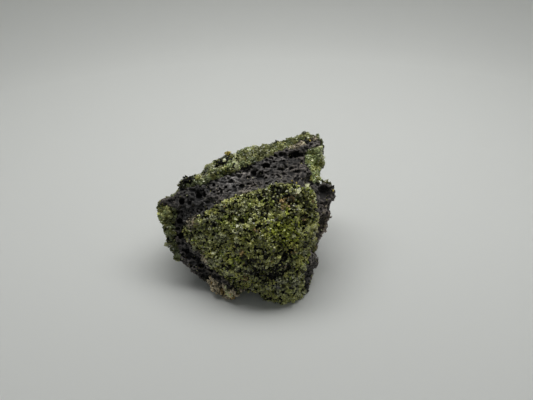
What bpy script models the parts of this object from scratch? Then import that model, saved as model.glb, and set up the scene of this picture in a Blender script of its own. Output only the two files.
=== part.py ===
"""A hand specimen of peridot rock: granular olivine nodules frozen in a crust of vesicular basalt.

The stone is one piece. Its bulk is blocked out as overlapping convex chunks, one for each mass that
can be told apart on its surface. The chunks are fused, hollowed where gas bubbles and broken-out
grains have left pits, roughened, and broken flat underneath where it rests.

Axes: +X to the right, +Y away from the front, +Z up. The origin is on the surface that the stone
rests on, below the middle of its outline.
"""

import bmesh
import bpy
from mathutils import Vector

MM = 0.001

NODE = "peridot_rock"

# The stone's corners, in millimetres, chunk by chunk.
# Front nodule: the big domed olivine face that slopes down to the front.
FRONT_NODULE = (
    # along its top edge, left to right
    (-31, -4.5, 33.5), (-19, -4.5, 42.5), (-7, -4.5, 47.5), (3, -4.5, 50.5), (14, -2.5, 52.5),
    (23, -1.5, 53.5), (32.5, -3, 50),
    # down its right edge
    (35, -10, 40), (33.5, -15, 31), (32.5, -19, 21), (31, -25, 11), (30.5, -29.5, 1),
    # along its foot
    (25, -34, -1.5), (10, -34, -1.5), (2, -31, 5), (-5, -30, 7),
    # up its left edge
    (-12, -26, 12), (-19, -22, 17), (-23, -17, 21), (-29, -13, 25), (-32, -8, 29),
    # the dome
    (12, -21, 39.5), (-2, -18, 38.5), (25, -20, 34), (14, -30, 19), (-4, -26.5, 22), (24, -29, 16),
    # buried corners behind
    (-18, 14, 12), (22, 14, 8), (-10, 12, 36), (22, 12, 40),
)
# Back nodule: the olivine under the top ridge, which makes the upper back of the stone.
BACK_NODULE = (
    # front edge of the strip that shows along the top
    (-32, 4.5, 41.5), (-15, 8, 48.5), (2, 12, 54), (19, 17, 56), (35, 20, 56),
    # the ridge, left to right
    (-33.3, 8.5, 42.6), (-22, 11.8, 44.2), (-16, 17.5, 48.6), (-10, 20, 50.5), (2, 23.3, 52.3), (14, 25, 53),
    (27, 28, 55.6), (37, 29.5, 57),
    # the right end, falling towards the front
    (39, 25, 52.5), (34.5, 17, 45), (37, 11, 41), (34.5, 23, 37),
    # the back slope
    (-32, 18, 30), (-15, 28, 34), (6, 32, 39), (24, 34, 42), (35, 32, 36),
    (-22, 24, 18), (3, 32, 21), (26, 32, 20),
    # buried corners in front
    (-18, 2, 22), (20, 4, 22),
)
# Basalt crust: the dark band between the two nodules, and what wraps round the right side.
BASALT_CRUST = (
    # the band's upper edge
    (-41, 3, 37), (-30, 4, 41), (-12, 8, 47), (4, 10, 51), (20, 14, 53.5), (32, 15, 53),
    # the band's lower edge, just below the nodule's
    (-34, -7, 32.5), (-19, -6, 39.5), (-6, -6, 44.5), (10, -5, 48.5), (24, -4, 50.5), (33, -5, 43),
    # the right side
    (38, 6, 38), (40.7, 0, 32), (41.3, -4, 27.5), (33, -13, 18.5), (33.8, -19, 12), (32.7, -25, 5.5),
    (31.5, -29, -1), (40, 8, 20), (37, 18, 12), (33, 15, -1.5),
    # the back, below the nodule
    (22, 30, -1.5), (-2, 29, 2), (-14, 20, -1.5), (24, 31, 12), (0, 31, 14), (-20, 22, 12),
)
# Lower left basalt: the ragged wall that leans out over the ground, down to the left foot.
LOWER_LEFT_BASALT = (
    (-36, -9, 26), (-33, -15, 20), (-30.5, -20, 13), (-23.5, -25, 7.5), (-16.5, -29, 3), (-11, -32.8, -1.5),
    (-4.5, -32.5, -1.5), (-4, -30, 8), (-14, -24, 14), (-24, -14, 24), (-24, 8, 8), (-16, -14, -1.5),
    (-6, -10, -1.5), (-30, -2, 18), (-20, 10, 26),
)
# Left nodule: the small olivine mass that sticks out to the left, off the ground.
LEFT_NODULE = (
    (-45, 0, 32), (-44.5, 4, 35), (-39.5, 3.3, 36.8), (-38.3, -8, 24), (-39.3, -15, 20), (-34.5, -19.5, 13),
    (-37, -6, 31), (-34, -14, 22), (-41, 8, 27), (-32, 17, 30), (-36, 4, 19), (-27, 16, 18), (-27, -14, 9),
    (-22, 10, 34), (-20, 0, 12),
)
# Right knob: a lump of basalt broken through a large gas bubble.
RIGHT_KNOB = (
    (40, 10, 42), (43.5, 8.5, 40.5), (46, 5, 38), (42.4, 1.5, 34), (41, -1, 30), (38, 0, 41.5), (37, 10, 43),
    (42, 12, 36), (41, 6, 26), (34, 4, 34), (35, -2, 38),
)
CHUNKS = (FRONT_NODULE, BACK_NODULE, BASALT_CRUST, LOWER_LEFT_BASALT, LEFT_NODULE, RIGHT_KNOB)

# Hollows, each swept by a ball along a few points: the radius and the points.
HOLLOWS = {
    # the low arch under the front, between the two places where the stone touches down
    "front_arch": (6.3, ((3, -40, -1), (2, -29, -1))),
    # the broken gas bubble in the right knob
    "knob_bubble": (3.3, ((36.8, 1.2, 43), (37.8, 3, 41.5))),
    # gas bubbles along the basalt band
    "band_bubble_large": (1.7, ((3.7, 6.5, 50.8), (4, 7.5, 49.5))),
    "band_bubble_right": (2.3, ((21, 14, 55), (26, 15.5, 55))),
    "left_bubble_upper": (2.3, ((-23, -1, 42), (-18.5, 0.5, 43.5))),
    "left_bubble_lower": (2.6, ((-30, -3.5, 39), (-28.5, -3.5, 39))),
    # the dark channel between the front nodule and the left one
    "left_channel": (
        2.8, ((-32.5, -4.5, 33.5), (-32.5, -10, 25.5), (-30, -15, 20), (-24, -20, 15), (-19.5, -24, 10.5)),
    ),
    # the back, where lumps have fallen out of the crust
    "back_hollow": (7.0, ((-2, 39, 20), (14, 40, 24))),
    "back_step": (7.5, ((26, 41, 6), (34, 36, 10))),
    # the underside, which is clear of the ground in the middle
    "under_hollow": (7.5, ((6, -14, -6), (14, 12, -6))),
}

FUSE_SIZE = 1.4
EVEN_SIZE = 1.3
ROUNDING_STEPS = 2
# Broad breaks and lumps over the whole stone, then a coarse grain: texture, size, height.
RELIEF = (("VORONOI", 9.0, 2.2), ("CLOUDS", 5.0, 2.0), ("CLOUDS", 2.4, 1.4))
KEPT_FACES = 0.31
REST_CUT_SIZE = 200.0

DARK_STONE = (0.065, 0.07, 0.038, 1.0)


def clear_scene():
    for obj in list(bpy.data.objects):
        bpy.data.objects.remove(obj, do_unlink=True)


def new_collection(name):
    collection = bpy.data.collections.new(name)
    bpy.context.scene.collection.children.link(collection)
    return collection


def hull_of(points):
    """The closed convex hull of the points, as a bmesh."""
    hull = bmesh.new()
    for point in points:
        hull.verts.new(point)
    made = bmesh.ops.convex_hull(hull, input=hull.verts)
    inside = [item for item in made["geom_interior"] if isinstance(item, bmesh.types.BMVert)]
    bmesh.ops.delete(hull, geom=inside, context="VERTS")
    bmesh.ops.recalc_face_normals(hull, faces=hull.faces)
    return hull


def make_chunks(collection):
    data = bpy.data.meshes.new(NODE)
    stone_mesh = bmesh.new()
    for corners in CHUNKS:
        chunk = hull_of([Vector(corner) * MM for corner in corners])
        chunk.to_mesh(data)
        chunk.free()
        stone_mesh.from_mesh(data)
    stone_mesh.to_mesh(data)
    stone_mesh.free()
    stone = bpy.data.objects.new(NODE, data)
    collection.objects.link(stone)
    return stone


def make_cutter(name, mesh, collection):
    data = bpy.data.meshes.new(name)
    mesh.to_mesh(data)
    mesh.free()
    cutter = bpy.data.objects.new(name, data)
    cutter.hide_render = True
    cutter.display_type = "WIRE"
    collection.objects.link(cutter)
    return cutter


def ball_points(centre, radius):
    ball = bmesh.new()
    bmesh.ops.create_icosphere(ball, subdivisions=2, radius=radius * MM)
    points = [vertex.co + Vector(centre) * MM for vertex in ball.verts]
    ball.free()
    return points


def make_hollows(collection):
    """One cutter for each stretch of each hollow, the hull of the balls at the stretch's two ends."""
    cutters = []
    for name, (radius, path) in HOLLOWS.items():
        for number, (start, end) in enumerate(zip(path, path[1:]), 1):
            stretch = hull_of(ball_points(start, radius) + ball_points(end, radius))
            cutters.append(make_cutter(f"{name}_{number}", stretch, collection))
    return cutters


def make_rest_cut(collection):
    """A block whose top face is the surface that the stone rests on."""
    mesh = bmesh.new()
    bmesh.ops.create_cube(mesh, size=REST_CUT_SIZE * MM)
    bmesh.ops.translate(mesh, vec=Vector((0, 0, -REST_CUT_SIZE / 2 * MM)), verts=mesh.verts)
    return make_cutter("rest_cut", mesh, collection)


def add_remesh(stone, name, size):
    remesh = stone.modifiers.new(name, "REMESH")
    remesh.mode = "VOXEL"
    remesh.voxel_size = size * MM


def cut(stone, cutters):
    for cutter in cutters:
        boolean = stone.modifiers.new(cutter.name, "BOOLEAN")
        boolean.operation = "DIFFERENCE"
        boolean.solver = "EXACT"
        boolean.object = cutter


def round_edges(stone):
    smooth = stone.modifiers.new("round_edges", "SMOOTH")
    smooth.factor = 0.5
    smooth.iterations = ROUNDING_STEPS


def roughen(stone):
    for kind, size, height in RELIEF:
        texture = bpy.data.textures.new(f"{kind.lower()}_{size:g}", kind)
        texture.noise_scale = size * MM
        if kind == "CLOUDS":
            texture.noise_depth = 2
        relief = stone.modifiers.new(texture.name, "DISPLACE")
        relief.texture = texture
        relief.texture_coords = "LOCAL"
        relief.direction = "NORMAL"
        relief.strength = height * MM
        relief.mid_level = 0.5


def thin_out(stone):
    decimate = stone.modifiers.new("thin_out", "DECIMATE")
    decimate.ratio = KEPT_FACES
    decimate.use_collapse_triangulate = True


def stone_material():
    material = bpy.data.materials.new("peridot_rock")
    material.use_nodes = True
    shader = material.node_tree.nodes["Principled BSDF"]
    shader.inputs["Base Color"].default_value = DARK_STONE
    shader.inputs["Roughness"].default_value = 0.6
    shader.inputs["Metallic"].default_value = 0.0
    return material


def centre_on_origin(stone, cutters):
    """Moves everything level, so that the middle of the stone's outline is over the origin."""
    bpy.context.view_layer.update()
    shape = stone.evaluated_get(bpy.context.evaluated_depsgraph_get())
    corners = [Vector(corner) for corner in shape.bound_box]
    middle = (corners[0] + corners[6]) / 2
    holder = bpy.data.objects.new("stone_placing", None)
    bpy.context.scene.collection.objects.link(holder)
    holder.location = (-middle.x, -middle.y, 0.0)
    for obj in (stone, *cutters):
        obj.parent = holder


def main():
    clear_scene()
    parts = new_collection(NODE)
    helpers = new_collection("cutters")
    stone = make_chunks(parts)
    stone.data.materials.append(stone_material())
    hollows = make_hollows(helpers)
    rest_cut = make_rest_cut(helpers)
    add_remesh(stone, "fuse", FUSE_SIZE)
    cut(stone, hollows)
    add_remesh(stone, "even_out", EVEN_SIZE)
    round_edges(stone)
    roughen(stone)
    thin_out(stone)
    cut(stone, [rest_cut])
    centre_on_origin(stone, [*hollows, rest_cut])


main()
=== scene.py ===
import math

import bmesh
import bpy
import numpy as np
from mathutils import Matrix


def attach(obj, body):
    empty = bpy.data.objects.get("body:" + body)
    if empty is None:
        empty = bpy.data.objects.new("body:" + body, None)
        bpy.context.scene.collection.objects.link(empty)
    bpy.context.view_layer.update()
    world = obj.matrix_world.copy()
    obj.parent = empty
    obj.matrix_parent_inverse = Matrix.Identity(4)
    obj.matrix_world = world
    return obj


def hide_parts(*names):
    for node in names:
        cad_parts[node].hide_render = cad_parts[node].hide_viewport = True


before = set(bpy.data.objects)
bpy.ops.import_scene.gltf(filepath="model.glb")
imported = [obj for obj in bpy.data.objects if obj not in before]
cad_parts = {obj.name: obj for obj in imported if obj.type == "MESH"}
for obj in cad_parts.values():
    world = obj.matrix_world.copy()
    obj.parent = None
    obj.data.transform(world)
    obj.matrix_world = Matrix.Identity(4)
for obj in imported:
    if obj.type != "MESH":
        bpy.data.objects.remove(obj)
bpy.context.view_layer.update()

import openvdb
from mathutils import Vector
from mathutils.bvhtree import BVHTree
from mathutils.kdtree import KDTree

NODE = "peridot_rock"
BODY = "root"

# Lengths in the tables below are in millimetres, and MM turns them into metres.
MM = 0.001
SEED = 7

# The camera: where it stands, how far it looks down, and the photograph's frame in pixels.
CAMERA_PLACE = (9.6, -122.7, 185.4)
CAMERA_DOWN = math.radians(50)
PHOTO_SIZE = (533, 400)
FOCAL_PIXELS = 400.0
SENSOR_WIDTH = 36.0

# The studio: a round pale sweep, with its middle in front of the stone and its wall close behind it.
SWEEP_MIDDLE = (30, -360)
SWEEP_RADIUS = 620
SWEEP_BEND = 70
SWEEP_HEIGHT = 365
SWEEP_STEPS = 96
BEND_STEPS = 10
FLOOR_RINGS = 6
FLOOR_COLOUR = (0.710, 0.72, 0.695, 1)
# The light from all around, and the light above.
SKY_COLOUR = (0.92, 0.97, 1.0, 1)
SKY_STRENGTH = 0.085
KEY_PLACE = (70, 250, 500)
KEY_SIZE = (900, 200)
KEY_POWER = 3.8

# What the photograph shows, as outlines in its pixels. Outside them the stone is basalt.
OUTLINES = {
    "front": (
        (251, 191), (274, 184), (291, 183), (301, 186), (313, 187), (315, 194), (318, 215), (319, 231),
        (314, 240), (310, 249), (309, 261), (305, 273), (308, 292), (312, 310), (262, 310), (258, 296),
        (250, 290), (242, 290), (234, 289), (226, 280), (215, 273), (207, 264), (203, 257), (194, 248),
        (184, 241), (181.5, 230), (186, 219), (197, 215), (207, 211), (211, 206), (221, 201), (235, 196),
    ),
    "top": (
        (170, 191), (177.5, 190), (194, 185.5), (210, 181.5), (223, 176), (239, 170.5), (256.5, 161),
        (274, 153), (287, 147), (307, 141), (319.5, 136.5), (335, 136.5), (335, 115), (160, 115),
    ),
    # The rim is the slab's lower edge: its tan is partly its own, and its paleness is partly painted light.
    "rim": ((287, 147.5), (300, 142.5), (311, 138.5), (319, 136.5), (318, 139), (305, 143.5), (290, 149)),
    "right_face": (
        (309, 149), (315, 147.5), (325, 146), (334, 148), (334, 178), (322, 179), (317, 183), (311, 178),
        (311, 169), (304, 160.5),
    ),
    "left_lobe": (
        (145, 204), (158, 204.5), (167, 205.5), (174, 209), (176, 216), (175, 229), (176, 243), (180, 256),
        (179, 268), (160, 268), (145, 230),
    ),
    "strip": ((313, 239), (318, 238), (319, 251), (313.5, 251)),
    "crust": (
        (204, 275), (209, 276), (214, 281), (219, 284), (225, 286), (228, 290), (238, 290.5), (246, 289),
        (242, 308), (220, 308), (202, 294), (201, 281),
    ),
}
# Where the photograph doesn't reach, olivine fills these balls: the centre and the three radii.
HIDDEN_OLIVINE = {
    "top": ((8, 24, 44), (40, 26, 20)),
    "left_lobe": ((-40, 0, 27), (12, 17, 12)),
    "front": ((12, -22, 6), (24, 20, 18)),
    "back_foot": ((-6, 26, 5), (9, 8, 8)),
}
ZONES = ("basalt", *OUTLINES, "back_foot")
# How ragged the outlines are, in pixels.
OUTLINE_WOBBLE = 2.2
# What counts as seen: turned to the camera by at least this much, and no deeper than this behind a bump.
SEEN_SLANT = 0.05
HIDING_DEPTH = 3.0

# The stone's first shape, before its bubbles are opened.
FIRST_VOXEL = 0.5
FIRST_SMOOTHING = 5
# Small moves to the photograph's outline: the pixel, the move in pixels and its reach.
OUTLINE_MOVES = (
    ((238, 150), (0.4, 1.8), 6), ((254, 146), (0.3, 1.4), 6), ((268, 142), (0.5, 3.8), 7),
    ((288, 138), (0.3, 3.6), 6), ((303, 132), (-0.2, -3.6), 5), ((316, 134), (-0.8, 2.2), 3.5),
    ((323, 143), (1.4, -0.3), 4), ((324, 161), (-1.4, 0.0), 4), ((321, 172), (-1.2, 0.0), 4),
    ((324, 179), (1.8, -0.8), 4), ((335, 195), (-1.8, -0.4), 5), ((330, 220), (1.6, 0.2), 5),
    ((327, 228), (1.2, 0.9), 4), ((317, 248), (-6.0, -0.7), 4.5), ((316, 257), (-0.4, 0.0), 4),
    ((318, 267), (1.2, 0.0), 4), ((311, 283), (-1.4, -0.3), 5), ((280, 302), (0.0, 0.6), 11),
    ((260, 297), (0.3, 1.4), 4), ((250, 290), (0.0, -0.8), 5), ((240, 293), (1.2, 0.8), 4),
    ((228, 298), (0.0, -0.4), 5), ((206, 284), (1.5, -1.8), 7), ((190, 271), (-0.8, 0.9), 6),
    ((178, 261), (-2.4, 2.8), 5), ((167, 247), (-3.0, 0.8), 6), ((157, 211), (-1.2, 0.2), 5),
    ((162, 229), (4.2, -0.3), 5), ((171, 194), (0.6, 1.4), 5), ((177, 187), (-2.8, -1.6), 4),
    ((200, 170), (2.2, 3.6), 7), ((214, 160), (0.3, 0.3), 5), ((223, 155), (0.6, 1.0), 4),
)
# Below this height the moves up and down the picture turn into moves along the ground.
FOOT_HEIGHT = 4.0
# Relief, coarse to fine: the noise's size, how far it is drawn out along the stone, and its height.
BASALT_RELIEF = ((5.0, 1.5, 2.2), (2.8, 2.0, 1.5), (1.5, 2.0, 0.8))
OLIVINE_RELIEF = ((7.0, 1.0, 2.0), (3.0, 1.0, 1.1))
# How far each zone stands out from the basalt.
ZONE_RISE = {
    "front": -0.2, "top": 0.2, "rim": 0.4, "right_face": -0.2, "left_lobe": -0.4, "strip": -0.2,
    "crust": 0.4, "back_foot": 0,
}
SEAM_DEPTH = 0.5
# How far the body lies below the middles of its grains.
GRAIN_BED = 1.0

# The stone's last shape. Its faces are thinned to this many, mostly under the grains.
VOXEL = 0.38
BODY_TRIANGLES = 190_000
OPEN_WEIGHT = 0.25
CHIP_SIZE = 0.9
CHIP_HEIGHT = 0.22

# Crystals, bubbles and grains pick from random places, one in each candidate room of square millimetres.
# Olivine crystals are broken into grains of much the same colour: how far apart they are, how far each
# domes, and how wide the groove round it is.
CRYSTAL_CANDIDATE_ROOM = 0.4
CRYSTAL_ROOM = 2.4
CRYSTAL_DOME = 0.7
CRYSTAL_GROOVE = 1.2

# Gas bubbles that the photograph shows: the pixel of the middle, the radius, and how deep the middle lies.
BUBBLES_SEEN = (
    ((252.9, 173.6), 1.6, 0.6), ((266.8, 166.2), 1.9, 0.8), ((242.1, 185.7), 1.35, 0.5),
    ((239.2, 176.2), 1.2, 0.4), ((241.4, 175), 0.9, 0.3), ((246.8, 177.5), 0.8, 0.3),
    ((257, 170.4), 0.75, 0.3), ((246.4, 188.9), 0.8, 0.3), ((215.7, 178.6), 0.8, 0.3),
    ((291, 156), 1.6, 0.6), ((296, 154.5), 2.0, 0.8), ((301, 155), 1.3, 0.6), ((286, 158), 1.1, 0.4),
    ((181.8, 200), 1.9, 0.9), ((182, 207), 2.4, 1.2), ((199, 196), 1.6, 0.4),
    ((205, 195), 1.6, 0.4), ((286, 167), 1.0, 0.3), ((279, 169.5), 0.9, 0.3), ((272, 172), 0.8, 0.3),
    ((280, 177), 0.8, 0.3), ((226, 187), 1.0, 0.4), ((233, 182), 0.8, 0.3), ((221, 192), 1.1, 0.4),
    ((189, 204), 1.2, 0.5), ((172, 204), 1.1, 0.4), ((323, 193), 4.2, -2.2), ((320, 194), 2.0, 0.0),
    ((177, 213), 1.3, 0.8), ((180, 221), 1.8, 1.1), ((178, 229), 1.2, 0.4), ((181.5, 236), 2.1, 1.4),
    ((182, 244), 1.2, 0.5), ((187, 251), 1.6, 0.7), ((194, 258), 1.1, 0.3), ((201, 266), 1.5, 0.5),
    ((219, 279), 1.6, 0.6), ((224.5, 284), 1.3, 0.5),
    ((262, 161), 0.9, 0.4), ((266.5, 159.5), 1.1, 0.5), ((271, 158), 1.1, 0.5), ((275.5, 156), 1.2, 0.6),
    ((280, 154.5), 1.3, 0.7), ((284.5, 153.5), 1.3, 0.7),
)
# The other bubbles: the radius, and how many square millimetres of basalt there are to each.
BUBBLE_SIZES = ((1.7, 300), (1.25, 80), (0.9, 20), (0.66, 8), (0.48, 4.5))
BUBBLE_CANDIDATE_ROOM = 0.3
BUBBLE_SPACING = 0.8
# How they vary: in size, in depth, in their three radii, in how far they are drawn out, and how ragged.
BUBBLE_SPREAD = (0.75, 1.15)
BUBBLE_SINK = (-0.35, 0.75)
BUBBLE_SIDES = (0.85, 1.1)
BUBBLE_STRETCH = (0.8, 1.7)
BUBBLE_RAGGEDNESS = 0.6
# Scattered bubbles and crumbs stay above this height.
CLEAR_HEIGHT = 1.0
# Flat chips that the photograph shows: the middle's pixel, the radius of the hollow's ball and the depth.
CHIPS_SEEN = (((302, 176), 9.0, 0.9), ((322, 219), 8.0, 0.7), ((312, 268), 9.0, 0.6))

# Olivine grains, large to small: the radius, and how many square millimetres there are at least to each.
GRAIN_SIZES = ((1.2, 400), (0.9, 110), (0.68, 22), (0.52, 6), (0.42, 1.9), (0.34, 0.1))
GRAIN_CANDIDATE_ROOM = 0.04
GRAIN_CROWDING = 0.8
GRAIN_GAPS = (0.0, 0.14)
GRAIN_SPREAD = (0.9, 1.15)
# Grains up to this radius are searched apart from the few that are larger.
COMMON_GRAIN = 0.6
# A grain is cut from a box: half its width and its top, as shares of the radius, and how deep it is rooted.
GRAIN_BOX = (1.35, 1.3)
GRAIN_ROOT = 0.4
# Its neighbours cut its sides: how far off they are looked for, and the least width, as shares of radii.
NEIGHBOUR_REACH = 1.5
LEAST_SIDE = 0.35
# Its outer facets, a broad one and two steeper ones: the least and the most that they tilt, in degrees, and
# stand off, how far each is turned from the last, and how far that varies.
FACETS = 3
FACET_TILTS = ((10, 35, 35), (50, 70, 70))
FACET_OFFSETS = ((0.15, 0.35, 0.35), (0.5, 0.85, 0.85))
FACET_TURN = 2.6
FACET_SHAKE = 0.5
# No facet is painted brighter than this.
BRIGHTEST = 0.8
# The share of grains in their crystal's colour, and the share of those in a patch that take its colour.
CRYSTAL_SHARE = 0.7
PATCH_SHARE = 0.8
# Grains larger than this are yellow-green. Where the stone is steep and turned from the light above, the
# grains and their facets are painted more unevenly, as painted glints.
CLEAR_GRAIN = 0.8
STEEP_PAINTED_SPARKLE = 0.8
# To keep each piece small, the two large zones have a piece for the grains on each side of this.
SPLIT = 8.0
SPLIT_ZONES = ("front", "top")
# For each zone: the largest grain, the brightness, how much the brightness of crystals, of single grains
# and of their facets varies, how unevenly the grains stand out, as a share of their radius, and the share
# broken out.
GRAIN_LOOKS = {
    "basalt": (0.0, 1.0, 0.3, 0.4, 0.6, 0.4, 0.1),
    "front": (1.3, 1.45, 0.5, 1.15, 1.1, 0.6, 0.17),
    "top": (0.9, 0.75, 0.3, 0.1, 0.12, 0.25, 0.06),
    "rim": (0.75, 1.0, 0.2, 0.2, 0.3, 0.3, 0.05),
    "right_face": (0.75, 1.68, 0.12, 0.08, 0.08, 0.15, 0.02),
    "left_lobe": (0.9, 0.92, 0.2, 0.12, 0.15, 0.3, 0.04),
    "strip": (0.75, 1.2, 0.3, 0.3, 0.3, 0.4, 0.08),
    "crust": (0.7, 1.65, 0.6, 0.5, 0.6, 0.6, 0.12),
    "back_foot": (0.9, 1.0, 0.3, 0.3, 0.3, 0.4, 0.08),
}

# Colours, as the share of red, green and blue light sent back.
TINTS = {
    "olive": (0.290, 0.290, 0.082),
    "yellow_green": (0.510, 0.525, 0.200),
    "pale": (0.680, 0.695, 0.400),
    "deep": (0.140, 0.158, 0.034),
    "brown": (0.260, 0.190, 0.080),
    "grey_green": (0.310, 0.355, 0.155),
    "emerald": (0.350, 0.380, 0.065),
    "yellow": (0.700, 0.560, 0.110),
    "tan": (0.460, 0.400, 0.285),
    "black": (0.014, 0.014, 0.009),
}
# How common each colour is in each zone.
MIXES = {
    "front": {"olive": 0.28, "yellow_green": 0.26, "pale": 0.20, "deep": 0.13, "brown": 0.03, "black": 0.10},
    "top": {
        "olive": 0.16, "yellow_green": 0.22, "pale": 0.15, "deep": 0.07, "grey_green": 0.35, "black": 0.05,
    },
    # The rim's pale and yellow grains are partly painted light on the slab's lit edge.
    "rim": {"tan": 0.56, "yellow": 0.06, "pale": 0.22, "olive": 0.10, "brown": 0.06},
    "right_face": {
        "olive": 0.12, "yellow_green": 0.14, "pale": 0.26, "deep": 0.04, "grey_green": 0.43, "black": 0.01,
    },
    "left_lobe": {
        "olive": 0.35, "yellow_green": 0.12, "pale": 0.02, "deep": 0.16, "grey_green": 0.30, "black": 0.05,
    },
    "crust": {"tan": 0.72, "brown": 0.13, "pale": 0.04, "black": 0.11},
}
MIXES["strip"] = MIXES["front"]
MIXES["back_foot"] = MIXES["left_lobe"]
# The basalt's grey, how strongly crests are painted paler as painted light and hollows darker as painted
# shade, its two tones, and the colour under the grains: near-black, partly painted shade in the gaps between
# them and partly the dark rock there.
BASALT_GREY = 0.0235
PAINTED_CREST_LIGHT_AND_HOLLOW_SHADE = 0.65
COOL_BASALT = (1.0, 0.96, 0.93)
WARM_BASALT = (1.17, 0.98, 0.82)
UNDER_GRAINS_AND_GAP_SHADE = (0.010, 0.010, 0.003)
# For each slot: roughness, IOR, transmission, the specks' size, their darkest and palest, and the bump.
MATERIALS = {
    "basalt": (0.75, 1.5, 0.0, 0.7, 0.45, 1.6, 0.3),
    "olivine": (0.3, 1.67, 0.3, 0.5, 0.4, 1.6, 0.1),
    "dark_grains": (0.6, 1.4, 0.0, 0.5, 0.4, 1.6, 0.1),
    "weathered_crust": (0.85, 1.5, 0.0, 0.4, 0.4, 1.5, 0.15),
}
# Patches that the photograph shows: the middle's pixel, the radius, the colour and the hollow's depth. The
# black and deep patches lay dark grains in hollows as painted shade, and the yellow-green one on the bulge
# at the foot is partly painted light; the other colours are the stone's own.
PATCHES = (
    ((284, 231), 7.5, "emerald", 0.0),
    ((305, 227), 2.0, "black", 0.8),
    ((288, 254), 2.6, "black", 1.0),
    ((258, 275), 3.5, "black", 1.2),
    ((276, 274), 3.5, "black", 1.2),
    ((284, 299), 5.0, "yellow_green", -1.2),
    ((278, 192), 2.2, "black", 0.6),
    ((221, 222), 2.5, "deep", 0.6),
    ((253, 194), 3.0, "yellow_green", 0.0),
    ((262, 246), 5.0, "yellow_green", 0.0),
    ((220, 237), 3.0, "pale", 0.0),
    ((190, 221), 4.0, "tan", 0.0),
    ((203, 258), 3.0, "tan", 0.0),
    ((223, 160), 4.5, "black", 0.7),
    ((203, 171), 2.6, "black", 0.6),
    ((187, 179), 2.6, "black", 0.6),
    ((259, 154), 4.5, "yellow_green", 0.0),
    ((268, 150), 4.5, "yellow_green", 0.0),
)
# Painted light and painted shade, partly also the stone's own tone: where the stone is painted darker or
# paler, mostly as shade in hollows and as light on faces turned up or out of a shadow: the middle's pixel,
# the radius and the factors on red, green and blue.
PAINTED_LIGHT_AND_SHADE = (
    ((186, 202), 9.0, (0.5, 0.5, 0.5)),
    ((322, 222), 8.0, (2.7, 2.5, 2.3)),
    ((232, 174), 8.0, (2.0, 2.0, 2.0)),
    ((248, 209), 8.0, (2.0, 2.0, 1.9)),
    ((250, 228), 9.0, (0.6, 0.6, 0.6)),
    ((220, 252), 12.0, (1.8, 1.8, 1.7)),
    ((252, 250), 10.0, (2.5, 2.5, 2.2)),
    ((292, 240), 8.0, (1.7, 1.7, 1.4)),
    ((273, 274), 13.0, (0.6, 0.6, 0.6)),
    ((310, 257), 6.0, (2.4, 2.4, 2.3)),
    ((281, 306), 8.0, (3.5, 3.5, 3.4)),
)
# How patches and the painted light and shade fade, before it is kept between 0 and 1: the strength in the
# middle, its fall over one radius, and how ragged it is.
PATCH_STRENGTH = 1.9
PATCH_FALL = 1.4
PATCH_RAGGEDNESS = 1.2
# The brightness of the next grains, and how far they stand out, as a share of their radius.
SEEN_GRAIN_SHADE = 1.1
SEEN_GRAIN_RISE = 0.3
# Single grains that the photograph shows: the pixel, the radius and the colour.
GRAINS_SEEN = (
    ((227.5, 151.5), 1.4, "yellow"), ((276, 139), 1.0, "black"), ((235.4, 155), 1.0, "pale"),
    ((224.6, 160.4), 0.9, "pale"), ((260, 237), 1.5, "yellow_green"), ((240.4, 242.5), 1.0, "yellow_green"),
    ((231, 261), 1.2, "emerald"), ((284.3, 220), 0.8, "yellow_green"), ((298.6, 191.4), 1.1, "olive"),
    ((306.4, 194.3), 1.3, "olive"), ((307.9, 186.4), 0.8, "pale"), ((312.9, 201.4), 0.7, "brown"),
    ((227.9, 211.4), 1.2, "olive"), ((271.4, 225.7), 1.1, "emerald"), ((293.6, 235.7), 1.1, "yellow_green"),
    ((203.5, 258.5), 1.2, "tan"),
)
# Crumbs that lie on the basalt: the pixel, the radius and the colour.
CRUMBS_SEEN = (
    ((207.9, 179.3), 0.6, "yellow"), ((225.7, 173.2), 0.6, "yellow"), ((187, 195.7), 0.6, "pale"),
    ((333, 190.5), 0.7, "yellow"), ((325.5, 206), 0.8, "tan"), ((325.5, 225.5), 0.9, "tan"),
    ((323, 213), 0.6, "tan"), ((326.5, 218), 0.6, "tan"), ((321.5, 230), 0.6, "pale"),
    ((292, 181.4), 0.7, "yellow"), ((296.4, 183.2), 0.6, "yellow"),
)
CRUMB_ROOM = 30.0
CRUMB_SIZES = (0.2, 0.45)
CRUMB_SHAPES = 20
CRUMB_CORNERS = 9
CRUMB_LIFT = 0.3
CRUMB_BRIGHTNESS = (0.4, 0.9)


def photo_axes():
    """The camera's right, forward and up directions."""
    right = np.array((1.0, 0.0, 0.0))
    ahead = np.array((0.0, math.cos(CAMERA_DOWN), -math.sin(CAMERA_DOWN)))
    up = np.array((0.0, math.sin(CAMERA_DOWN), math.cos(CAMERA_DOWN)))
    return right, ahead, up


def photo_pixels(points):
    """Where points, in metres, fall in the photograph."""
    right, ahead, up = photo_axes()
    away = points - np.array(CAMERA_PLACE) * MM
    depth = away @ ahead
    across = PHOTO_SIZE[0] / 2 + FOCAL_PIXELS * (away @ right) / depth
    down = PHOTO_SIZE[1] / 2 - FOCAL_PIXELS * (away @ up) / depth
    return np.stack((across, down), axis=1)


def pixel_hit(pixel, tree, points):
    """The surface's point and normal at a pixel, or at the nearest pixel that the stone fills."""
    right, ahead, up = photo_axes()
    across = (pixel[0] - PHOTO_SIZE[0] / 2) / FOCAL_PIXELS
    rise = (PHOTO_SIZE[1] / 2 - pixel[1]) / FOCAL_PIXELS
    camera = Vector(CAMERA_PLACE) * MM
    place, normal, _, _ = tree.ray_cast(camera, Vector(ahead + right * across + up * rise).normalized())
    if place is None:
        gaps = np.linalg.norm(photo_pixels(points) - pixel, axis=1)
        place, normal, _, _ = tree.find_nearest(Vector(points[gaps.argmin()]))
    return np.array(place), np.array(normal)


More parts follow.
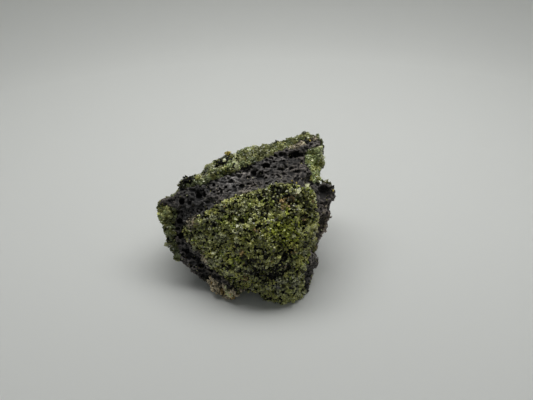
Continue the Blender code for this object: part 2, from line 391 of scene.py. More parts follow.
def lattice_noise(points, size, seed):
    """Smooth noise from 0 to 1, with features of about this size in millimetres."""
    table = np.random.default_rng(SEED * 1000 + seed).random((32, 32, 32))
    spot = points / (size * MM)
    cell = np.floor(spot).astype(int)
    part = spot - cell
    part = part * part * (3 - 2 * part)
    total = np.zeros(len(points))
    for corner in np.ndindex(2, 2, 2):
        index = (cell + corner) % 32
        weight = np.prod(np.where(corner, part, 1 - part), axis=1)
        total += weight * table[index[:, 0], index[:, 1], index[:, 2]]
    return total


def ridges(points, size, seed):
    """Noise with sharp crests, from 0 to 1."""
    return 1 - np.abs(2 * lattice_noise(points, size, seed) - 1)


def read_rows(items, name, width, kind=float):
    """One property of all these vertices, edges or triangles, as rows of numbers."""
    values = np.empty(len(items) * width, dtype=kind)
    items.foreach_get(name, values)
    return values.reshape(-1, width)


def mesh_points(mesh):
    return read_rows(mesh.vertices, "co", 3)


def mesh_normals(mesh):
    return read_rows(mesh.vertices, "normal", 3)


def mesh_edges(mesh):
    return read_rows(mesh.edges, "vertices", 2, np.int32)


def mesh_triangles(mesh):
    """The corners and the areas of the mesh's triangles."""
    mesh.calc_loop_triangles()
    corners = read_rows(mesh.loop_triangles, "vertices", 3, np.int32)
    return corners, read_rows(mesh.loop_triangles, "area", 1).ravel()


def move_points(mesh, points):
    """Gives the mesh these points, none of them below the ground."""
    points[:, 2] = np.maximum(points[:, 2], 0)
    mesh.vertices.foreach_set("co", points.ravel())
    mesh.update()


def mesh_tree(mesh):
    return BVHTree.FromPolygons(mesh_points(mesh).tolist(), [tuple(face.vertices) for face in mesh.polygons])


def kd_tree(places, numbers=None):
    """A search tree of places, each with a number, or else with its order."""
    tree = KDTree(max(len(places), 1))
    for place, number in zip(places, range(len(places)) if numbers is None else numbers):
        tree.insert(place, number)
    tree.balance()
    return tree


def nearest(tree, places):
    """The number of the nearest of the tree's places to each of these."""
    return np.array([tree.find(place)[1] for place in places])


def blurred(values, edges, rounds):
    """Each vertex's value averaged with its neighbours', a number of times."""
    count = 1 + np.bincount(edges.ravel(), minlength=len(values))
    for _ in range(rounds):
        near = np.bincount(edges[:, 0], values[edges[:, 1]], len(values))
        near += np.bincount(edges[:, 1], values[edges[:, 0]], len(values))
        values = (values + near) / count
    return values


def blurred_vectors(values, edges, rounds):
    return np.stack([blurred(values[:, axis], edges, rounds) for axis in range(3)], axis=1)


def unit(vectors):
    return vectors / np.linalg.norm(vectors, axis=1)[:, None]


def inside_outline(pixels, outline):
    """Which pixels lie inside a closed outline."""
    inside = np.zeros(len(pixels), dtype=bool)
    x, y = pixels.T
    for (x0, y0), (x1, y1) in zip(outline, outline[1:] + outline[:1]):
        if y0 == y1:
            continue
        crossing = (y0 > y) != (y1 > y)
        inside ^= crossing & (x < x0 + (y - y0) * (x1 - x0) / (y1 - y0))
    return inside


def seen_by_camera(points, normals, tree):
    """Which points face the camera with nothing but small bumps in front of them."""
    camera = Vector(CAMERA_PLACE) * MM
    away = points - np.array(camera)
    distance = np.linalg.norm(away, axis=1)
    ways = away / distance[:, None]
    seen = (normals * ways).sum(1) < -SEEN_SLANT
    for index in np.nonzero(seen)[0]:
        _, _, _, reach = tree.ray_cast(camera, Vector(ways[index]))
        seen[index] = reach is None or reach > distance[index] - HIDING_DEPTH * MM
    return seen


def zones_of(points, normals, tree):
    """The number in ZONES of what the stone is made of at each point."""
    zones = np.zeros(len(points), dtype=int)
    seen = seen_by_camera(points, normals, tree)
    wobble = [
        lattice_noise(points, 2.2, seed) + lattice_noise(points, 1.0, seed + 1) - 1 for seed in (10, 12)
    ]
    pixels = photo_pixels(points) + OUTLINE_WOBBLE * np.stack(wobble, axis=1)
    for name, outline in OUTLINES.items():
        zones[seen & inside_outline(pixels, outline)] = ZONES.index(name)
    bulge = 1 + 0.5 * (lattice_noise(points, 7, 14) - 0.5) + 0.25 * (lattice_noise(points, 2.5, 15) - 0.5)
    for name, (centre, radii) in HIDDEN_OLIVINE.items():
        spot = (points / MM - centre) / radii
        zones[~seen & (np.linalg.norm(spot, axis=1) < bulge)] = ZONES.index(name)
    return zones


def new_object(name, mesh):
    obj = bpy.data.objects.new(name, mesh)
    bpy.context.scene.collection.objects.link(obj)
    return obj


def take_modified_mesh(obj):
    """Gives the object the mesh that its modifiers leave, and drops them."""
    bpy.context.view_layer.update()
    depsgraph = bpy.context.evaluated_depsgraph_get()
    mesh = bpy.data.meshes.new_from_object(obj.evaluated_get(depsgraph))
    old = obj.data
    obj.modifiers.clear()
    obj.data = mesh
    bpy.data.meshes.remove(old)


def fine_copy_of_node():
    """The node's shape as a fine, even mesh without its facets."""
    shape = bmesh.new()
    shape.from_mesh(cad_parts[NODE].data)
    bmesh.ops.remove_doubles(shape, verts=shape.verts, dist=1e-6)
    mesh = bpy.data.meshes.new("first_shape")
    shape.to_mesh(mesh)
    shape.free()
    first = new_object("first_shape", mesh)
    remesh = first.modifiers.new("even", "REMESH")
    remesh.mode = "VOXEL"
    remesh.voxel_size = FIRST_VOXEL * MM
    smooth = first.modifiers.new("smooth", "SMOOTH")
    smooth.factor = 0.5
    smooth.iterations = FIRST_SMOOTHING
    take_modified_mesh(first)
    return first


def fit_outline(mesh):
    """Moves the stone's points across the picture, to bring its outline onto the photograph's."""
    right, ahead, up = photo_axes()
    points = mesh_points(mesh)
    pixels = photo_pixels(points)
    shift = np.zeros((len(points), 2))
    for pixel, move, reach in OUTLINE_MOVES:
        shift += np.exp(-((pixels - pixel) ** 2).sum(1) / (2 * reach ** 2))[:, None] * move
    above = np.clip(points[:, 2] / (FOOT_HEIGHT * MM), 0, 1)[:, None]
    down = -up * above + np.array((0, -1 / math.sin(CAMERA_DOWN), 0)) * (1 - above)
    depth = (points - np.array(CAMERA_PLACE) * MM) @ ahead
    shift *= (depth / FOCAL_PIXELS)[:, None]
    move_points(mesh, points + shift[:, :1] * right + shift[:, 1:] * down)


def painted_light_and_shade_factors(points, painted_light_and_shade):
    """The factor of painted light and painted shade on red, green and blue at each point."""
    factors = np.ones((len(points), 3))
    for place, radius, change in painted_light_and_shade:
        factors *= 1 + patch_reach(points, place, radius)[:, None] * (np.array(change) - 1)
    return factors


def place_patches(patches, tree, points):
    """Patches of the photograph as balls on the stone: the middle, the radius and what else each has."""
    return [(pixel_hit(pixel, tree, points)[0], radius * MM, *rest) for pixel, radius, *rest in patches]


def patch_reach(points, place, radius):
    """1 in the middle of a patch, falling to 0 past its ragged edge."""
    away = np.linalg.norm(points - place, axis=1) / radius
    ragged = PATCH_RAGGEDNESS * (lattice_noise(points, 1.8, 60) - 0.5)
    return np.clip(PATCH_STRENGTH - PATCH_FALL * away + ragged, 0, 1)


def relief_height(points, layers, seed):
    height = np.zeros(len(points))
    for number, (size, drawn_out, tall) in enumerate(layers):
        height += tall * (ridges(points / (drawn_out, 1, 1), size, seed + number) - 0.75)
    return height


def carve_relief(mesh, zones, crystal_tree, patches):
    """Roughens the basalt, domes the crystals, and sets each zone in or out."""
    points, normals, edges = mesh_points(mesh), mesh_normals(mesh), mesh_edges(mesh)
    grainy = blurred((zones > 0).astype(float), edges, 3)
    seam = 4 * grainy * (1 - grainy)
    basalt = relief_height(points, BASALT_RELIEF, 20)
    rise = np.array([ZONE_RISE.get(zone, 0) for zone in ZONES])[zones]
    olivine = relief_height(points, OLIVINE_RELIEF, 30) + blurred(rise, edges, 3)
    olivine -= sum(depth * patch_reach(points, place, radius) for place, radius, _, depth in patches)
    for index in np.nonzero(zones > 0)[0]:
        first, second = crystal_tree.find_n(points[index], 2)
        groove = (second[2] - first[2]) / MM
        olivine[index] += CRYSTAL_DOME * (min(groove, CRYSTAL_GROOVE) / CRYSTAL_GROOVE - 0.6)
    height = (1 - grainy) * basalt + grainy * olivine
    height -= SEAM_DEPTH * seam * lattice_noise(points, 4, 40)
    move_points(mesh, points + normals * height[:, None] * MM)


def sink_grain_bed(mesh, zones):
    """Lowers the body under the grains, so that the gaps between them are deep."""
    grainy = blurred((zones > 0).astype(float), mesh_edges(mesh), 2)
    move_points(mesh, mesh_points(mesh) - mesh_normals(mesh) * grainy[:, None] * GRAIN_BED * MM)


def scattered(mesh, wanted, room, rng):
    """Random points on the wanted part of a mesh, one for each room of square millimetres."""
    corners, areas = mesh_triangles(mesh)
    kept = wanted[corners].all(1)
    corners, areas = corners[kept], areas[kept]
    count = int(areas.sum() / MM ** 2 / room)
    chosen = corners[rng.choice(len(corners), count, p=areas / areas.sum())]
    weights = rng.dirichlet((1, 1, 1), count)
    points, normals = mesh_points(mesh), mesh_normals(mesh)
    places = (points[chosen] * weights[:, :, None]).sum(1)
    facing = unit((normals[chosen] * weights[:, :, None]).sum(1))
    return places, facing, areas.sum() / MM ** 2


def spaced(places, order, taken, radius, crowding, most):
    """Picks places, in order, that leave room to the balls taken and to each other."""
    tree = kd_tree([place for place, _ in taken])
    largest = max((size for _, size in taken), default=0)
    apart = 2 * radius * crowding
    steps = [tuple(np.array(step) - 1) for step in np.ndindex(3, 3, 3)]
    cells = {}
    picked = []
    for index in order:
        if len(picked) >= most:
            break
        x, y, z = places[index]
        i, j, k = int(x // apart), int(y // apart), int(z // apart)
        near = [cells[(i + a, j + b, k + c)] for a, b, c in steps if (i + a, j + b, k + c) in cells]
        if any((x - u) ** 2 + (y - v) ** 2 + (z - w) ** 2 < apart * apart for u, v, w in near):
            continue
        found = tree.find_range((x, y, z), (largest + radius) * crowding) if taken else ()
        if any(gap < (taken[number][1] + radius) * crowding for _, number, gap in found):
            continue
        cells[(i, j, k)] = (x, y, z)
        picked.append(index)
    return picked


def rotations(count, rng):
    """Random rotation matrices."""
    q = rng.normal(size=(count, 4))
    w, x, y, z = (q / np.linalg.norm(q, axis=1)[:, None]).T
    rows = (
        (1 - 2 * (y * y + z * z), 2 * (x * y - z * w), 2 * (x * z + y * w)),
        (2 * (x * y + z * w), 1 - 2 * (x * x + z * z), 2 * (y * z - x * w)),
        (2 * (x * z - y * w), 2 * (y * z + x * w), 1 - 2 * (x * x + y * y)),
    )
    return np.array(rows).transpose(2, 0, 1)


def find_bubbles(mesh, zones, rng):
    """The hollows in the basalt: the middle and the three radii of each."""
    tree, points = mesh_tree(mesh), mesh_points(mesh)
    taken, middles = [], []
    for pixel, radius, sink in BUBBLES_SEEN:
        place, normal = pixel_hit(pixel, tree, points)
        taken.append((place, radius * MM))
        middles.append(place - normal * sink * MM)
    deep = blurred((zones == 0).astype(float), mesh_edges(mesh), 2) > 0.8
    clear = points[:, 2] > CLEAR_HEIGHT * MM
    places, facing, area = scattered(mesh, deep & clear, BUBBLE_CANDIDATE_ROOM, rng)
    for radius, room in BUBBLE_SIZES:
        order = rng.permutation(len(places))
        for index in spaced(places, order, taken, radius * MM, BUBBLE_SPACING, int(area / room)):
            size = radius * rng.uniform(*BUBBLE_SPREAD) * MM
            taken.append((places[index], size))
            middles.append(places[index] - facing[index] * size * rng.uniform(*BUBBLE_SINK))
    radii = np.array([radius for _, radius in taken])
    sides = radii[:, None] * rng.uniform(*BUBBLE_SIDES, (len(radii), 3))
    sides[len(BUBBLES_SEEN):, 0] *= rng.uniform(*BUBBLE_STRETCH, len(radii) - len(BUBBLES_SEEN))
    hollows = list(zip(middles, sides))
    for pixel, radius, depth in CHIPS_SEEN:
        place, normal = pixel_hit(pixel, tree, points)
        hollows.append((place + normal * (radius - depth) * MM, np.full(3, radius * MM)))
    return hollows


def solid_cells(mesh):
    """The distance to the mesh's surface in each cell, below zero inside, and the first cell's number."""
    grid = openvdb.FloatGrid.createLevelSetFromPolygons(
        (mesh_points(mesh) / MM).astype(np.float32),
        triangles=mesh_triangles(mesh)[0].astype(np.uint32),
        transform=openvdb.createLinearTransform(VOXEL),
    )
    first, last = grid.evalActiveVoxelBoundingBox()
    distances = np.empty(np.subtract(last, first) + 1, dtype=np.float32)
    grid.copyToArray(distances, ijk=first)
    return distances, np.array(first)


def open_bubble(distances, first, middle, sides):
    """Hollows one bubble out of the cells."""
    reach = sides.max() + 2 * VOXEL
    low = np.maximum(np.floor((middle - reach) / VOXEL).astype(int) - first, 0)
    high = np.minimum(np.ceil((middle + reach) / VOXEL).astype(int) - first + 1, distances.shape)
    if (low >= high).any():
        return
    spans = [np.arange(a, b) for a, b in zip(low, high)]
    spots = ((np.stack(np.meshgrid(*spans, indexing="ij"), axis=-1) + first) * VOXEL).reshape(-1, 3)
    hollow = (1 - np.linalg.norm((spots - middle) / sides, axis=1)) * sides.min()
    hollow += BUBBLE_RAGGEDNESS * (lattice_noise(spots * MM, 1.3, 90) - 0.5)
    patch = distances[low[0]:high[0], low[1]:high[1], low[2]:high[2]]
    hollow = hollow.reshape(patch.shape)
    np.maximum(patch, hollow, out=patch)


def main_part(faces, count):
    """Which of the points belong to the largest connected part."""
    label = np.arange(count)
    while True:
        lowest = label[faces].min(1)
        lower = label.copy()
        for corner in faces.T:
            np.minimum.at(lower, corner, lowest)
        lower = lower[lower]
        if (lower == label).all():
            return label == np.bincount(label).argmax()
        label = lower


def make_body(first_mesh, hollows):
    """The stone with its bubbles open, as one closed mesh."""
    distances, first = solid_cells(first_mesh)
    for middle, sides in hollows:
        open_bubble(distances, first, middle / MM, sides / MM)
    grid = openvdb.FloatGrid(float(distances.max()))
    grid.copyFromArray(distances, ijk=tuple(int(number) for number in first))
    grid.transform = openvdb.createLinearTransform(VOXEL)
    points, _, faces = grid.convertToPolygons()
    faces = faces.astype(int)
    kept = main_part(faces, len(points))
    faces = (np.cumsum(kept) - 1)[faces[kept[faces[:, 0]]]]
    mesh = bpy.data.meshes.new("basalt_body")
    mesh.from_pydata((points[kept].astype(float) * MM).tolist(), [], faces.tolist())
    mesh.update()
    move_points(mesh, mesh_points(mesh))
    return new_object("basalt_body", mesh)


def chip_surface(mesh, zones):
    """Fine unevenness all over the basalt."""
    points = mesh_points(mesh)
    rough = CHIP_HEIGHT * (ridges(points / (1.6, 1, 1), CHIP_SIZE, 80) - 0.5) * (zones == 0)
    move_points(mesh, points + mesh_normals(mesh) * rough[:, None] * MM)


def thin_body(body, zones):
    """Thins the body's faces, most of all where they lie under the grains or on the ground."""
    points = mesh_points(body.data)
    hidden = blurred((zones > 0).astype(float), mesh_edges(body.data), 3) > 0.97
    hidden |= points[:, 2] < 0.1 * MM
    group = body.vertex_groups.new(name="thinned")
    group.add(np.nonzero(hidden)[0].tolist(), 1.0, "REPLACE")
    group.add(np.nonzero(~hidden)[0].tolist(), OPEN_WEIGHT, "REPLACE")
    decimate = body.modifiers.new("thin", "DECIMATE")
    decimate.vertex_group = group.name
    decimate.ratio = BODY_TRIANGLES / len(mesh_triangles(body.data)[0])
    take_modified_mesh(body)


def paint_mesh(mesh, colours, domain):
    """Stores a colour at each vertex or face, for the materials to read."""
    paint = mesh.attributes.new("tint", "FLOAT_COLOR", domain)
    rgba = np.ones((len(colours), 4))
    rgba[:, :3] = colours
    paint.data.foreach_set("color", rgba.ravel())


def paint_body(mesh, zones, painted_light_and_shade):
    """Colours the body: charcoal with painted light on crests and painted shade in hollows, and dark olive
    under the grains, partly painted shade in the gaps.
    """
    points, normals, edges = mesh_points(mesh), mesh_normals(mesh), mesh_edges(mesh)
    relief_light_and_shade = np.zeros(len(points))
    # Crests are painted paler as painted light, and hollows darker as painted shade.
    for rounds, depth in ((2, 0.05), (12, 0.25)):
        sunk = ((blurred_vectors(points, edges, rounds) - points) * normals).sum(1) / MM
        relief_light_and_shade += np.clip(-sunk / depth, -1.2, 1.2)
    grey = BASALT_GREY * np.exp(PAINTED_CREST_LIGHT_AND_HOLLOW_SHADE * relief_light_and_shade)
    grey *= 0.4 + 1.2 * lattice_noise(points, 4, 70)
    warm = lattice_noise(points, 6, 71)[:, None]
    colours = grey[:, None] * (np.array(COOL_BASALT) * (1 - warm) + np.array(WARM_BASALT) * warm)
    # Painted light and painted shade make the basalt's paint paler or darker here.
    colours *= painted_light_and_shade_factors(points, painted_light_and_shade)
    # Under the grains the body is near-black, partly painted shade in the gaps between them.
    colours[zones > 0] = UNDER_GRAINS_AND_GAP_SHADE
    paint_mesh(mesh, colours, "POINT")


def pick_tints(zone_numbers, rng):
    """The number of a colour for each place, by how common the colours are in its zone."""
    picks = np.zeros(len(zone_numbers), dtype=int)
    for number, zone in enumerate(ZONES):
        here = np.nonzero(zone_numbers == number)[0]
        if zone in MIXES and len(here):
            shares = np.array([MIXES[zone].get(tint, 0) for tint in TINTS])
            picks[here] = rng.choice(len(TINTS), len(here), p=shares / shares.sum())
    return picks


def crystal_seeds(mesh, zones, rng):
    """The middles of the olivine crystals, with a colour and a brightness for each."""
    places, _, _ = scattered(mesh, zones > 0, CRYSTAL_CANDIDATE_ROOM, rng)
    order = rng.permutation(len(places))
    middles = places[spaced(places, order, [], CRYSTAL_ROOM / 2 * MM, 1.0, len(places))]
    zone_numbers = zones[nearest(kd_tree(mesh_points(mesh)), middles)]
    return kd_tree(middles), pick_tints(zone_numbers, rng), rng.normal(0, 1, len(middles))


def sow_grains(mesh, zones, rng):
    """Where the olivine's grains grow: their places, the way they face, their radii and their zones."""
    points, normals = mesh_points(mesh), mesh_normals(mesh)
    tree = mesh_tree(mesh)
    seen = [(*pixel_hit(pixel, tree, points), radius * MM) for pixel, radius, _ in GRAINS_SEEN]
    on_ground = (points[:, 2] < 0.5 * MM) & (normals[:, 2] < -0.8)
    places, facing, area = scattered(mesh, (zones > 0) & ~on_ground, GRAIN_CANDIDATE_ROOM, rng)
    vertex_tree = kd_tree(points)
    zone_numbers = zones[nearest(vertex_tree, places)]
    coarsest = np.array([GRAIN_LOOKS[zone][0] for zone in ZONES])[zone_numbers]
    taken = [(place, radius) for place, _, radius in seen]
    picked = []
    for radius, room in GRAIN_SIZES:
        order = rng.permutation(len(places))
        order = order[coarsest[order] >= radius]
        for index in spaced(places, order, taken, radius * MM, GRAIN_CROWDING, int(area / room)):
            taken.append((places[index], radius * MM))
            picked.append(index)
    places = np.array([place for place, _ in taken])
    facing = np.concatenate([[normal for _, normal, _ in seen], facing[picked]])
    radii = np.array([radius for _, radius in taken]) * rng.uniform(*GRAIN_SPREAD, len(taken))
    return places, facing, radii, zones[nearest(vertex_tree, places)]


def colour_grains(sown, crystals, patches, painted_light_and_shade, rng):
    """The name of a colour and a mean paint for each grain."""
    places, facing, radii, zone_numbers = sown
    crystal_tree, crystal_tints, crystal_bright = crystals
    crystal = nearest(crystal_tree, places)
    own = pick_tints(zone_numbers, rng)
    tints = np.where(rng.random(len(places)) < CRYSTAL_SHARE, crystal_tints[crystal], own)
    names = list(TINTS)
    tints[radii > CLEAR_GRAIN * MM] = names.index("yellow_green")
    # Patches set the grains' colour; in hollows the black and deep ones are painted shade.
    for place, radius, tint, _ in patches:
        inside = rng.random(len(places)) < PATCH_SHARE * patch_reach(places, place, radius)
        tints[inside] = names.index(tint)
    bright, clumped, single = np.array([GRAIN_LOOKS[zone][1:4] for zone in ZONES])[zone_numbers].T
    # Steep grains, turned from the light above, vary more in brightness: painted glints.
    single = single * (1 + STEEP_PAINTED_SPARKLE * (0.5 - facing[:, 2]))
    shade = bright * np.exp(clumped * crystal_bright[crystal] + single * rng.normal(0, 1, len(places)))
    shade *= (0.6 + 0.8 * lattice_noise(places, 8, 50)) * (0.6 + 0.8 * lattice_noise(places, 3.5, 51))
    for number, (_, _, tint) in enumerate(GRAINS_SEEN):
        tints[number] = names.index(tint)
        shade[number] = SEEN_GRAIN_SHADE
    # Painted light and painted shade make the grains' paint paler or darker here.
    paint = shade[:, None] * np.array(list(TINTS.values()))[tints] * painted_light_and_shade_factors(places, painted_light_and_shade)
    return [names[tint] for tint in tints], paint


def box_solid(half, low, high):
    """A box as points and faces. Faces are loops of point numbers."""
    square = ((-half, -half), (half, -half), (half, half), (-half, half))
    points = [(x, y, z) for z in (low, high) for x, y in square]
    sides = [(i, (i + 1) % 4, (i + 1) % 4 + 4, i + 4) for i in range(4)]
    return points, [(3, 2, 1, 0), (4, 5, 6, 7), *sides]


def cut_solid(points, faces, normal, offset):
    """Cuts a convex solid at a plane and closes the cut. Adds points and returns the new faces."""
    a, b, c = normal
    above = [x * a + y * b + z * c - offset for x, y, z in points]
    if max(above) <= 0:
        return faces
    crossings, closing, kept = {}, {}, []
    for loop in faces:
        if all(above[number] <= 0 for number in loop):
            kept.append(loop)
            continue
        clipped = []
        for start, end in zip(loop, loop[1:] + loop[:1]):
            if above[start] <= 0:
                clipped.append(start)
            if (above[start] <= 0) != (above[end] <= 0):
                edge = (start, end) if start < end else (end, start)
                if edge not in crossings:
                    share = above[edge[0]] / (above[edge[0]] - above[edge[1]])
                    crossings[edge] = len(points)
                    both_ends = zip(points[edge[0]], points[edge[1]])
                    points.append(tuple(p + (q - p) * share for p, q in both_ends))
                clipped.append(crossings[edge])
                if above[start] <= 0:
                    leaving = crossings[edge]
                else:
                    entering = crossings[edge]
        if clipped:
            kept.append(tuple(clipped))
            closing[entering] = leaving
    if closing:
        cap = [next(iter(closing))]
        while closing[cap[-1]] != cap[0]:
            cap.append(closing[cap[-1]])
        kept.append(tuple(cap))
    return kept


def grow_grain(radius, planes):
    """An angular grain: a box that is cut by planes, each a normal and an offset."""
    half, top = GRAIN_BOX
    points, faces = box_solid(half * radius, -radius - GRAIN_ROOT * MM, top * radius)
    for normal, offset in planes:
        faces = cut_solid(points, faces, normal, offset)
    used = sorted({number for loop in faces for number in loop})
    renumbered = {number: order for order, number in enumerate(used)}
    return np.array([points[number] for number in used]), [[renumbered[n] for n in loop] for loop in faces]


def side_planes(index, places, radii, axes, trees, gap):
    """The planes between a grain and its neighbours, the nearest first, seen from the grain."""
    place, radius = places[index], radii[index]
    common, coarse = trees
    found = common.find_range(place, NEIGHBOUR_REACH * (radius + COMMON_GRAIN * MM))
    found += coarse.find_range(place, NEIGHBOUR_REACH * (radius + radii.max()))
    planes = []
    for apart, other in sorted((apart, other) for _, other, apart in found):
        if other == index or apart > NEIGHBOUR_REACH * (radius + radii[other]):
            continue
        offset = (apart ** 2 + radius ** 2 - radii[other] ** 2) / (2 * apart) - gap
        normal = (axes @ (places[other] - place) / apart).tolist()
        planes.append((normal, max(offset, LEAST_SIDE * radius)))
    return planes


def facet_planes(count, rng):
    """The broken facets on the outer sides of grains of unit radius, as normals and offsets."""
    tilts = np.radians(rng.uniform(*FACET_TILTS, (count, FACETS)))
    turns = rng.uniform(0, 2 * math.pi, (count, 1)) + np.arange(FACETS) * FACET_TURN
    turns += rng.uniform(-FACET_SHAKE, FACET_SHAKE, (count, FACETS))
    offsets = rng.uniform(*FACET_OFFSETS, (count, FACETS))
    flat = np.sin(tilts)
    return np.stack((flat * np.cos(turns), flat * np.sin(turns), np.cos(tilts)), axis=2), offsets


def piece_of_grain(zone, tint, place):
    if tint == "black":
        return "dark_grains"
    # Rim grains, partly painted light on a lit edge, go with the weathered crust.
    if zone in ("crust", "rim", "basalt"):
        return "weathered_crust"
    if zone in SPLIT_ZONES:
        return "olivine_" + zone + ("_left_half" if place[0] < SPLIT * MM else "_right_half")
    return "olivine_" + zone


def facet_paint(paint, spread, count, rng):
    """A grain's paint, brighter or darker on each of its facets as painted sparkle from light inside the
    crystal, but nowhere too bright.
    """
    facets = paint * np.exp(rng.normal(0, spread, count))[:, None]
    return facets * np.minimum(1, BRIGHTEST / facets.max(1))[:, None]


def grow_grains(sown, tints, paint, rng):
    """The shapes and facet colours of all the grains, in a list for each piece."""
    places, facing, radii, zone_numbers = sown
    numbers = np.arange(len(places))
    coarse = radii > COMMON_GRAIN * MM
    trees = kd_tree(places[~coarse], numbers[~coarse]), kd_tree(places[coarse], numbers[coarse])
    uneven, broken_out = np.array([GRAIN_LOOKS[zone][5:] for zone in ZONES])[zone_numbers].T
    heights = radii * uneven * rng.uniform(-1, 1, len(places))
    heights[: len(GRAINS_SEEN)] = SEEN_GRAIN_RISE * radii[: len(GRAINS_SEEN)]
    missing = rng.random(len(places)) < broken_out
    missing[: len(GRAINS_SEEN)] = False
    gaps = rng.uniform(*GRAIN_GAPS, len(places)) * MM
    side = unit(np.cross(facing, (0.31, 0.77, 0.55)))
    frames = np.stack((side, np.cross(facing, side), facing), axis=1)
    normals, offsets = facet_planes(len(places), rng)
    pieces = {}
    for index in numbers[~missing]:
        zone = ZONES[zone_numbers[index]]
        planes = side_planes(index, places, radii, frames[index], trees, gaps[index])
        planes += list(zip(normals[index].tolist(), offsets[index] * radii[index]))
        points, faces = grow_grain(radii[index], planes)
        points = points @ frames[index] + places[index] + facing[index] * heights[index]
        points[:, 2] += max(0.0, -points[:, 2].min())
        # Steep grains' facets, turned from the light above, vary more: painted glints.
        spread = GRAIN_LOOKS[zone][4] * (1 + STEEP_PAINTED_SPARKLE * (0.5 - facing[index][2]))
        facets = facet_paint(paint[index], spread, len(faces), rng)
        piece = piece_of_grain(zone, tints[index], places[index])
        pieces.setdefault(piece, []).append((points, faces, facets))
    return pieces


def even_directions(count, rng):
    """Directions spread evenly over a ball and then shaken."""
    number = np.arange(count) + 0.5
    height = 1 - 2 * number / count
    turn = number * math.pi * (3 - math.sqrt(5))
    flat = np.sqrt(1 - height ** 2)
    directions = np.stack((flat * np.cos(turn), flat * np.sin(turn), height), axis=1)
    return unit(directions + rng.normal(0, 0.32, (count, 3)))


def crumb_shapes(rng):
    """Angular crumbs of about unit radius, each the hull of a few points."""
    shapes = []
    for _ in range(CRUMB_SHAPES):
        corners = even_directions(CRUMB_CORNERS, rng) * rng.uniform(0.75, 1.15, CRUMB_CORNERS)[:, None]
        shape = bmesh.new()
        for corner in corners:
            shape.verts.new(corner)
        made = bmesh.ops.convex_hull(shape, input=shape.verts)
        inside = [item for item in made["geom_interior"] if isinstance(item, bmesh.types.BMVert)]
        bmesh.ops.delete(shape, geom=inside, context="VERTS")
        bmesh.ops.recalc_face_normals(shape, faces=shape.faces)
        shape.verts.index_update()
        points = np.array([vert.co for vert in shape.verts])
        faces = [[vert.index for vert in face.verts] for face in shape.faces]
        shape.free()
        shapes.append((points, faces))
    return shapes


def scatter_crumbs(mesh, zones, rng):
    """Crumbs of olivine and rust on the basalt."""
    tree, points = mesh_tree(mesh), mesh_points(mesh)
    crumbs = [(*pixel_hit(pixel, tree, points), radius, tint) for pixel, radius, tint in CRUMBS_SEEN]
    clear = points[:, 2] > CLEAR_HEIGHT * MM
    places, facing, _ = scattered(mesh, (zones == 0) & clear, CRUMB_ROOM, rng)
    picks = rng.choice(("tan", "pale", "olive", "brown"), len(places))
    sizes = rng.uniform(*CRUMB_SIZES, len(places))
    crumbs += list(zip(places, facing, sizes, picks))
    turns = rotations(len(crumbs), rng)
    shapes = crumb_shapes(rng)
    parts = []
    for turn, (place, normal, radius, tint) in zip(turns, crumbs):
        corners, faces = shapes[rng.integers(CRUMB_SHAPES)]
        corners = corners @ turn.T * radius * MM + place + normal * radius * CRUMB_LIFT * MM
        corners[:, 2] += max(0.0, -corners[:, 2].min())
        paint = rng.uniform(*CRUMB_BRIGHTNESS) * np.array(TINTS[tint])
        parts.append((corners, faces, facet_paint(paint, 0.3, len(faces), rng)))
    return parts


def build_piece(name, parts):
    """One object of many parts, each with its points, faces and facet colours."""
    points, faces = [], []
    count = 0
    for corners, loops, _ in parts:
        points.append(corners)
        faces += [[number + count for number in loop] for loop in loops]
        count += len(corners)
    mesh = bpy.data.meshes.new(name)
    mesh.from_pydata(np.concatenate(points).tolist(), [], faces)
    mesh.update()
    paint_mesh(mesh, np.concatenate([colours for _, _, colours in parts]), "FACE")
    return new_object(name, mesh)


def new_material(name):
    material = bpy.data.materials.new(name)
    material.use_nodes = True
    return material, material.node_tree.nodes, material.node_tree.links


def set_inputs(node, values):
    for name, value in values.items():
        node.inputs[name].default_value = value


def speckled_material(name, roughness, ior, transmission, speck, low, high, bump_height):
    """A material that takes the painted colour and breaks it up with fine noise, which also roughens it."""
    material, nodes, links = new_material(name)
    shader = nodes["Principled BSDF"]
    set_inputs(shader, {"Roughness": roughness, "IOR": ior, "Transmission Weight": transmission})
    tint = nodes.new("ShaderNodeAttribute")
    tint.attribute_name = "tint"
    place = nodes.new("ShaderNodeTexCoord")
    noise = nodes.new("ShaderNodeTexNoise")
    set_inputs(noise, {"Scale": 1 / (speck * MM), "Detail": 2})
    links.new(place.outputs["Object"], noise.inputs["Vector"])
    strength = nodes.new("ShaderNodeMapRange")
    set_inputs(strength, {"From Min": 0.3, "From Max": 0.7, "To Min": low, "To Max": high})
    links.new(noise.outputs["Fac"], strength.inputs["Value"])
    product = nodes.new("ShaderNodeVectorMath")
    product.operation = "SCALE"
    links.new(tint.outputs["Color"], product.inputs["Vector"])
    links.new(strength.outputs["Result"], product.inputs["Scale"])
    links.new(product.outputs["Vector"], shader.inputs["Base Color"])
    bump = nodes.new("ShaderNodeBump")
    set_inputs(bump, {"Strength": 0.7, "Distance": bump_height * MM})
    links.new(noise.outputs["Fac"], bump.inputs["Height"])
    links.new(bump.outputs["Normal"], shader.inputs["Normal"])
    return material


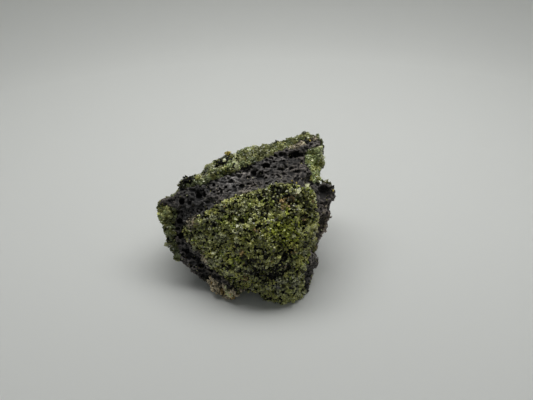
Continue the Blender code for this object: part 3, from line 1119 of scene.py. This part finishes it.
def make_stone():
    rng = np.random.default_rng(SEED)
    first = fine_copy_of_node()
    mesh = first.data
    fit_outline(mesh)
    broad = unit(blurred_vectors(mesh_normals(mesh), mesh_edges(mesh), 20))
    tree = mesh_tree(mesh)
    zones = zones_of(mesh_points(mesh), broad, tree)
    patches = place_patches(PATCHES, tree, mesh_points(mesh))
    # Patches of painted light and painted shade, placed on the stone.
    painted_light_and_shade = place_patches(PAINTED_LIGHT_AND_SHADE, tree, mesh_points(mesh))
    crystals = crystal_seeds(mesh, zones, rng)
    carve_relief(mesh, zones, crystals[0], patches)
    sown = sow_grains(mesh, zones, rng)
    tints, paint = colour_grains(sown, crystals, patches, painted_light_and_shade, rng)
    sink_grain_bed(mesh, zones)
    body = make_body(mesh, find_bubbles(mesh, zones, rng))
    first_tree = kd_tree(mesh_points(mesh))
    bpy.data.objects.remove(first, do_unlink=True)
    body_zones = zones[nearest(first_tree, mesh_points(body.data))]
    chip_surface(body.data, body_zones)
    thin_body(body, body_zones)
    body_zones = zones[nearest(first_tree, mesh_points(body.data))]
    paint_body(body.data, body_zones, painted_light_and_shade)
    for face in body.data.polygons:
        face.use_smooth = True
    parts = grow_grains(sown, tints, paint, rng)
    parts["loose_crumbs"] = scatter_crumbs(body.data, body_zones, rng)
    for name, piece_parts in parts.items():
        build_piece(name, piece_parts)
    materials = {slot: speckled_material(slot, *looks) for slot, looks in MATERIALS.items()}
    slots = {"basalt_body": "basalt", "loose_crumbs": "weathered_crust"}
    for name in ("basalt_body", *parts):
        slot = slots.get(name, name if name in materials else "olivine")
        piece = bpy.data.objects[name]
        piece.data.materials.append(materials[slot])
        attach(piece, BODY)
        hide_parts(NODE)


def make_camera():
    data = bpy.data.cameras.new("camera")
    data.sensor_width = SENSOR_WIDTH
    data.lens = SENSOR_WIDTH * FOCAL_PIXELS / PHOTO_SIZE[0]
    data.clip_start = 0.01
    camera = new_object("camera", data)
    camera.location = Vector(CAMERA_PLACE) * MM
    camera.rotation_euler = (math.pi / 2 - CAMERA_DOWN, 0, 0)
    bpy.context.scene.camera = camera


def make_sweep():
    """The floor and the wall behind it, in one surface turned about a vertical line."""
    bend_start = SWEEP_RADIUS - SWEEP_BEND
    profile = [(bend_start * step / FLOOR_RINGS, 0.0) for step in range(1, FLOOR_RINGS)]
    for step in range(BEND_STEPS + 1):
        angle = math.pi / 2 * step / BEND_STEPS
        profile.append((bend_start + SWEEP_BEND * math.sin(angle), SWEEP_BEND * (1 - math.cos(angle))))
    profile.append((SWEEP_RADIUS, SWEEP_HEIGHT))
    shape = bmesh.new()
    middle = shape.verts.new((*SWEEP_MIDDLE, 0.0))
    rings = []
    for radius, height in profile:
        ring = []
        for step in range(SWEEP_STEPS):
            angle = 2 * math.pi * step / SWEEP_STEPS
            x = SWEEP_MIDDLE[0] + radius * math.cos(angle)
            y = SWEEP_MIDDLE[1] + radius * math.sin(angle)
            ring.append(shape.verts.new((x, y, height)))
        rings.append(ring)
    for step in range(SWEEP_STEPS):
        after = (step + 1) % SWEEP_STEPS
        shape.faces.new((middle, rings[0][step], rings[0][after]))
        for inner, outer in zip(rings, rings[1:]):
            shape.faces.new((inner[step], outer[step], outer[after], inner[after]))
    for face in shape.faces:
        face.smooth = True
    bmesh.ops.scale(shape, vec=Vector((MM, MM, MM)), verts=shape.verts)
    mesh = bpy.data.meshes.new("floor")
    shape.to_mesh(mesh)
    shape.free()
    floor = new_object("floor", mesh)
    material, nodes, _ = new_material("floor")
    looks = {"Base Color": FLOOR_COLOUR, "Roughness": 0.95, "Specular IOR Level": 0.2}
    set_inputs(nodes["Principled BSDF"], looks)
    mesh.materials.append(material)


def add_key_light():
    """A flat light that faces down."""
    data = bpy.data.lights.new("key_light", "AREA")
    data.shape = "RECTANGLE"
    data.size, data.size_y = (side * MM for side in KEY_SIZE)
    data.energy = KEY_POWER
    light = new_object("key_light", data)
    light.location = Vector(KEY_PLACE) * MM


def make_lights():
    scene = bpy.context.scene
    scene.view_settings.view_transform = "Standard"
    world = bpy.data.worlds.new("studio")
    scene.world = world
    world.use_nodes = True
    set_inputs(world.node_tree.nodes["Background"], {"Color": SKY_COLOUR, "Strength": SKY_STRENGTH})
    add_key_light()


make_camera()
make_sweep()
make_lights()
make_stone()
